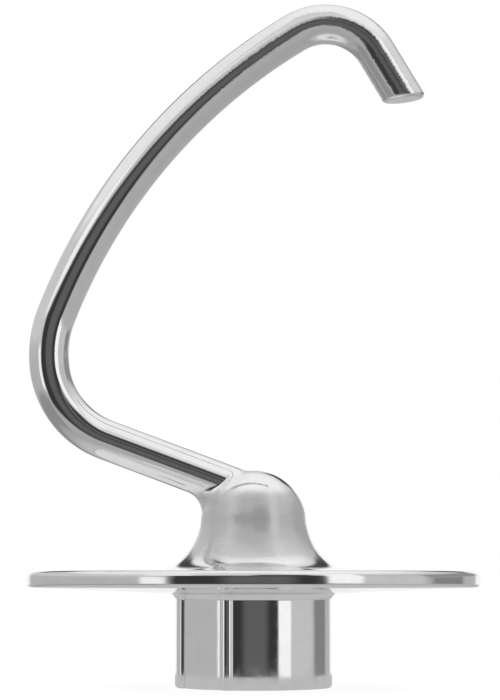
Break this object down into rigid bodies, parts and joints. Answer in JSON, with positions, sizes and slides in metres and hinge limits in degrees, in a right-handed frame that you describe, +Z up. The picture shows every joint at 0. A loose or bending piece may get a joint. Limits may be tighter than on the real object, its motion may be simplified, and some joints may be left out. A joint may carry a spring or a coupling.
{
  "type": "dough hook",
  "caption": "C-shaped dough hook for a stand mixer: a bent steel bar rising from a bell boss on a round shield, with a lobed drive hub that locks on a pinned shaft.",
  "frame": {"origin": "on the hub's axis, at the hub's open end face, on which the hook stands", "axes": "+Z up from the hub's open end to the hook, the hook lies in the XZ plane with its elbow towards -X and its tip towards +X"},
  "size_m": [0.106, 0.106, 0.1617],
  "materials": {
    "polished_steel": "mirror-polished stainless steel",
    "grained_steel": "stainless steel bar, polished over a fine grain"
  },
  "bodies": {
    "root": {"drive_hub": "polished_steel", "shield_disc": "polished_steel", "bell_boss": "polished_steel", "hook_arm": "grained_steel"}
  },
  "joints": []
}
